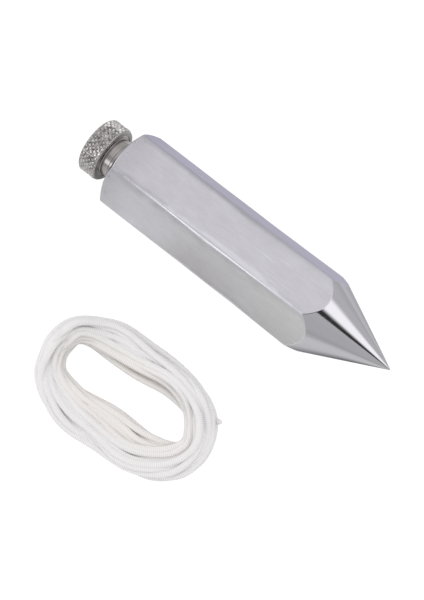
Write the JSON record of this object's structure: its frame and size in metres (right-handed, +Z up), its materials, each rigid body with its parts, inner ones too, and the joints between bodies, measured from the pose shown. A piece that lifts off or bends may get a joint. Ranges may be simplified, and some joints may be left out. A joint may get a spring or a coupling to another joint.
{
  "type": "plumb bob",
  "caption": "Hexagonal steel plumb bob with a turned point, a knurled screw cap drilled for the line, and a loose hank of braided line.",
  "frame": {"origin": "on the surface the bob lies on, below the middle of the bob's length (the line is left out of that box)", "axes": "+X along the bob's axis from the cap to the point, +Z up out of the surface; the line lies on the -Y side"},
  "size_m": [0.0984, 0.0747, 0.021],
  "materials": {
    "satin_body": "nickel-plated hexagonal bar, satin flats, polished point",
    "bright_cap": "nickel-plated, bright turned neck, coarse diamond knurl",
    "white_line": "white braided nylon, soft sheen"
  },
  "bodies": {
    "line": {"line_hank": "white_line"},
    "bob": {"hex_body": "satin_body"},
    "cap": {"cap_screw": "bright_cap"}
  },
  "joints": [
    {"name": "bob_draws_off", "type": "slide", "parent": "line", "child": "bob", "axis": [1, 0, 0], "range_m": [0, 0.0075]},
    {"name": "cap_unscrew", "type": "hinge", "parent": "line", "child": "cap", "pos_m": [-0.04923, 0, 0.0105], "axis": [-1, 0, 0], "range_deg": [0, 2160]}
  ],
  "couplings": [
    {"joint": "cap_unscrew", "follows": "bob_draws_off", "rad_per_m": 5026.5}
  ]
}
